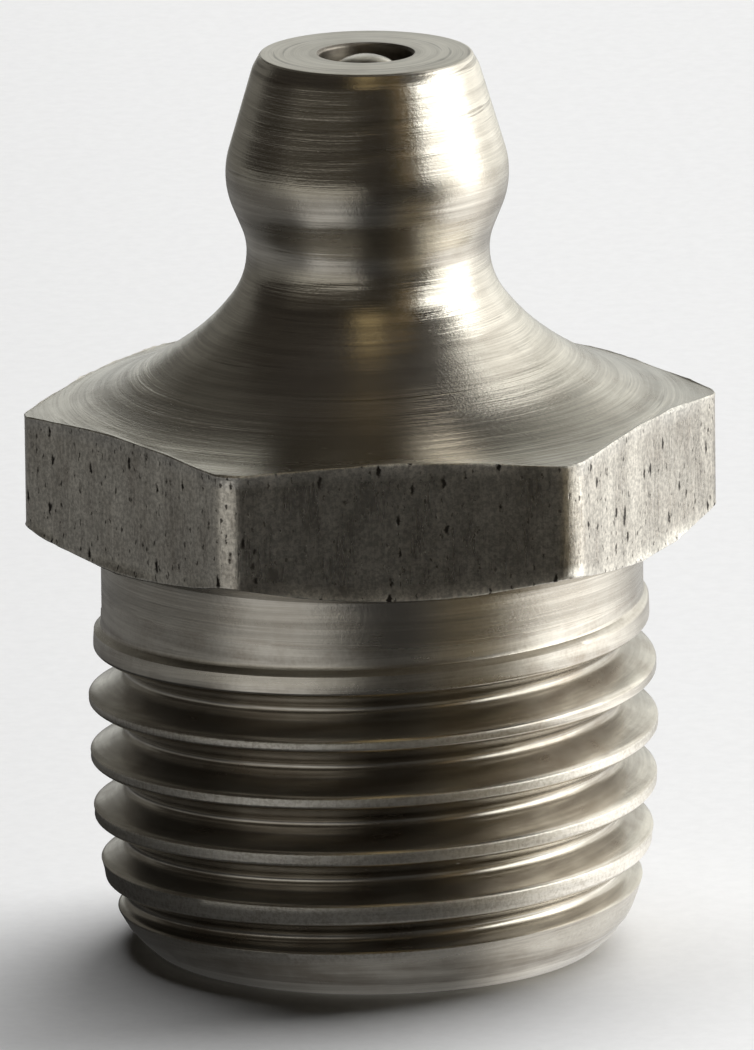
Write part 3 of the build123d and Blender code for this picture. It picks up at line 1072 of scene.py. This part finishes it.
def build_world(stage):
    """Surroundings: a dim room with a pale backdrop behind and a window on the right.

    The cards are seen by glossy rays only; the camera sees an even pale background.
    """
    world = bpy.data.worlds.new("studio")
    bpy.context.scene.world = world
    world.use_nodes = True
    world.cycles.sampling_method = "NONE"
    w = Wiring(world.node_tree)
    x, y, z = w.node("SeparateXYZ", {0: w.node("TexCoord").outputs["Generated"]}).outputs
    where = {"Azimuth": bearing_of(w, x, y), "Elevation": w.math("DEGREES", w.math("ARCSINE", z))}
    shade = ROOM_SHADE
    for strength, red, green, blue, *borders in CARDS:
        gain = getattr(stage, strength) if strength else 1.0
        edges = dict(zip(("Middle", "Half Width", "Low", "High", "Softness"), map(float, borders)))
        card = w.group(sky_card, {**where, **edges})
        shade = w.mix(card["Mask"], shade, (gain * red, gain * green, gain * blue))
    rays = w.node("LightPath").outputs
    shown = w.mix(rays["Is Glossy Ray"], BLACK, shade)
    shown = w.mix(rays["Is Camera Ray"], shown, BACKGROUND)
    w.put(world.node_tree.nodes["Background"].inputs["Color"], shown)


def floor_mesh():
    """Disc just under the foot, facing up: ring t lies at 160 mm times t^1.5."""
    rings, spokes = 25, 96
    theta = np.linspace(0, 2 * np.pi, spokes + 1)[:-1]
    radius = 0.16 * np.linspace(0.0, 1.0, rings)[:, None] ** 1.5
    level = np.full((rings, spokes), -0.02 * MM)
    points = np.stack([radius * np.cos(theta), radius * np.sin(theta), level], axis=-1)
    mesh = bpy.data.meshes.new("floor")
    mesh.from_pydata(points.reshape(-1, 3), [], ring_faces(rings, spokes, True))
    work = bmesh.new()
    work.from_mesh(mesh)
    bmesh.ops.remove_doubles(work, verts=work.verts, dist=1e-6)
    work.to_mesh(mesh)
    work.free()
    return mesh


def floor_glow(w, far, bearing):
    """Strength and warmth of what the metal sees of the floor, round the foot.

    The strength is the sum of a bright fan on the right, with a warm border towards the
    front, a patch at the front left, a weak glow further out on the left, some light
    beside the foot, a base that is stronger at the front right, and some light behind.
    The light beside the foot is weak on the left only; it jumps where the bearing wraps.
    """

    def at(low, high, a=0.0, b=1.0):
        """Smooth step by distance from the axis, low and high in millimetres."""
        return w.step(far, low * MM, high * MM, a, b)

    def by(low, high, a=0.0, b=1.0):
        """Smooth step by bearing, low and high in degrees."""
        return w.step(bearing, low, high, a, b)

    begins = w.plus(w.minus(at(6, 15, 12.0, 50.0), at(25, 36, 0.0, 16.0)), at(40, 46, 0.0, 22.0))
    right = by(begins, w.plus(begins, at(40, 46, 30.0, 12.0)), 0.0, 1.7)
    right = w.times(right, by(100.0, 135.0, 1.0, 0.40), by(145.0, 178.0, 1.0, 0.0), at(6.5, 11, 0.4, 1.0))
    warm = w.times(by(8.0, 30.0), w.step(right, 0.9, 0.25))
    warm = w.times(warm, w.times(by(90.0, 66.0), at(8.5, 12.5, 0.1, 1.0)))
    right = w.linear(warm, 0.12, right)
    front = w.times(by(-8.0, -34.0, 0.0, 0.55), by(-54.0, -72.0, 1.0, 0.0), at(14, 21))
    left = w.plus(at(17, 28, 0.0, 0.11), at(30, 42, 0.0, 0.07))
    left = w.times(by(-54.0, -72.0), left, by(-178.0, -150.0))
    under = w.times(at(6.4, 8.5, 0.14, 0.0), by(-50.0, -5.0, 0.1, 1.0))
    base = w.step(w.math("ABSOLUTE", w.minus(bearing, 40.0)), 120.0, 70.0, 0.03, 0.055)
    behind = w.step(w.math("ABSOLUTE", bearing), 145.0, 178.0, 0.0, 0.14)
    glow = w.plus(w.plus(right, left), w.plus(front, under))
    return w.plus(w.plus(glow, base), behind), warm


def build_floor(stage):
    """Paper floor, a disc that thins out into the surroundings and is clear from below."""
    mesh = floor_mesh()
    material = bpy.data.materials.new("paper")
    material.use_nodes = True
    tree = material.node_tree
    tree.nodes.remove(tree.nodes["Principled BSDF"])
    w = Wiring(tree)
    place = w.place()
    x, y, _ = w.node("SeparateXYZ", {0: place}).outputs
    paper = w.step(w.noise(place, 2400.0, 5.0, 0.7), 0.25, 0.75, 0.955, 1.0)
    paper = w.mix(1.0, tuple(stage.floor), w.grey(paper), "MULTIPLY")
    # Painted shade: the paper is a little darker on the left than on the right.
    left_shade = w.grey(w.step(x, -12 * MM, 12 * MM, 0.93, 1.0))
    bare = w.first("BsdfDiffuse", w.mix(1.0, paper, left_shade, "MULTIPLY"))
    far = w.math("SQRT", w.plus(w.math("POWER", x, 2.0), w.math("POWER", y, 2.0)))
    strength, warm = floor_glow(w, far, bearing_of(w, x, y))
    glow = w.first("Emission", w.mix(warm, (1.0, 0.99, 0.97), (1.0, 0.84, 0.56)), strength)
    rays = w.node("LightPath").outputs
    glossy, camera = rays["Is Glossy Ray"], rays["Is Camera Ray"]
    shown = w.first("MixShader", glossy, bare, glow)
    # The disc thins out from 130 to 158 mm, and for glossy rays from 60 to 150 mm.
    gone = w.step(far, w.step(glossy, 0.0, 1.0, 0.13, 0.06), w.step(glossy, 0.0, 1.0, 0.158, 0.15))
    below = w.times(w.node("NewGeometry").outputs["Backfacing"], camera)
    clear = w.first("BsdfTransparent")
    ending = w.first("MixShader", w.math("MAXIMUM", gone, below), shown, clear)
    w.put(tree.nodes["Material Output"].inputs["Surface"], ending)
    mesh.materials.append(material)
    show(mesh)


def toward(azimuth, elevation):
    """Unit vector at an azimuth, round the axis from the front, and an elevation."""
    level = math.cos(elevation)
    return Vector((math.sin(azimuth) * level, -math.cos(azimuth) * level, math.sin(elevation)))


def build_lamps(stage):
    """A wide lamp behind on the right and a soft one above, for floor and shadow.

    The metal doesn't show them.
    """
    for name, way, level, wide in (
        ("lamp", toward(stage.lamp_azimuth, stage.lamp_elevation), stage.lamp, stage.lamp_width),
        ("fill", toward(FILL_AZIMUTH, FILL_ELEVATION), stage.fill, FILL_WIDTH),
    ):
        data = bpy.data.lights.new(name, "SUN")
        data.energy, data.angle = level, wide
        lamp = bpy.data.objects.new(name, data)
        lamp.rotation_euler = way.to_track_quat("Z", "Y").to_euler()
        lamp.visible_glossy = False
        bpy.context.scene.collection.objects.link(lamp)


def build_camera(stage):
    """Long lens from the front, a little to the left and above."""
    azimuth, roll = stage.camera_azimuth, stage.camera_roll
    back = toward(azimuth, stage.camera_elevation)
    right = Vector((math.cos(azimuth), math.sin(azimuth), 0.0))
    up = back.cross(right)
    c, s = math.cos(roll), math.sin(roll)
    right, up = right * c + up * s, up * c - right * s
    data = bpy.data.cameras.new("camera")
    camera = bpy.data.objects.new("camera", data)
    bpy.context.scene.collection.objects.link(camera)
    eye = Vector((0, 0, stage.camera_height)) + back * stage.camera_distance + right * stage.camera_offset
    camera.matrix_world = Matrix.Translation(eye) @ Matrix((right, up, back)).transposed().to_4x4()
    data.lens = stage.camera_lens
    data.clip_start, data.clip_end = 0.05, 10.0
    bpy.context.scene.camera = camera


# ------------------------ operators


def show(mesh):
    """An object for a finished mesh, linked to the scene."""
    piece = bpy.data.objects.new(mesh.name, mesh)
    bpy.context.scene.collection.objects.link(piece)
    return piece


class NIPPLE_OT_stage(bpy.types.Operator):
    """Set the floor, the surroundings and the camera"""

    bl_idname = "nipple.stage"
    bl_label = "Stage"

    def execute(self, context):
        stage = context.scene.grease_nipple.stage
        build_world(stage)
        build_floor(stage)
        build_lamps(stage)
        build_camera(stage)
        context.scene.view_settings.view_transform = "Standard"
        return {"FINISHED"}


class NIPPLE_OT_body(bpy.types.Operator):
    """Build the body with its hexagon, head and rolled thread"""

    bl_idname = "nipple.body"
    bl_label = "Body"

    def execute(self, context):
        settings = context.scene.grease_nipple
        finish = settings.finish
        steels = (turned_steel, drawn_steel, rolled_steel, bored_steel)
        piece = show(body_mesh(settings, [steel(finish) for steel in steels]))
        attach(piece, "nipple")
        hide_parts("body")
        return {"FINISHED"}


class NIPPLE_OT_ball(bpy.types.Operator):
    """Build the check ball"""

    bl_idname = "nipple.ball"
    bl_label = "Ball"

    def execute(self, context):
        settings = context.scene.grease_nipple
        piece = show(ball_mesh(settings, polished_steel(settings.finish)))
        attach(piece, "ball")
        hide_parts("ball")
        return {"FINISHED"}


class NIPPLE_OT_spring(bpy.types.Operator):
    """Build the spring that holds the ball up"""

    bl_idname = "nipple.spring"
    bl_label = "Spring"

    def execute(self, context):
        settings = context.scene.grease_nipple
        piece = show(spring_mesh(settings, wire_steel(settings.finish)))
        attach(piece, "nipple")
        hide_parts("spring")
        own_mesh(piece)
        return {"FINISHED"}


class NIPPLE_PT_panel(bpy.types.Panel):
    """Grease nipple tools"""

    bl_idname = "NIPPLE_PT_panel"
    bl_label = "Grease nipple"
    bl_space_type = "VIEW_3D"
    bl_region_type = "UI"
    bl_category = "Nipple"

    def draw(self, context):
        settings = context.scene.grease_nipple
        for operator in OPERATORS:
            self.layout.operator(operator.bl_idname)
        for title in settings.__annotations__:
            group = getattr(settings, title)
            box = self.layout.box()
            for key in group.__annotations__:
                box.prop(group, key)


GROUPS = (NippleHeadSettings, NippleHexagonSettings, NippleThreadSettings, NippleValveSettings)
GROUPS += (NippleFinishSettings, NippleStageSettings, NippleSettings)
OPERATORS = (NIPPLE_OT_stage, NIPPLE_OT_body, NIPPLE_OT_ball, NIPPLE_OT_spring)
CLASSES = GROUPS + OPERATORS + (NIPPLE_PT_panel,)


def register():
    """Register the classes and the scene's settings."""
    for item in CLASSES:
        bpy.utils.register_class(item)
    bpy.types.Scene.grease_nipple = PointerProperty(type=NippleSettings)


def unregister():
    """Undo register."""
    del bpy.types.Scene.grease_nipple
    for item in reversed(CLASSES):
        bpy.utils.unregister_class(item)


def main():
    """Build the stage and every piece."""
    register()
    bpy.ops.nipple.stage()
    bpy.ops.nipple.body()
    bpy.ops.nipple.ball()
    bpy.ops.nipple.spring()


if __name__ == "__main__":
    main()
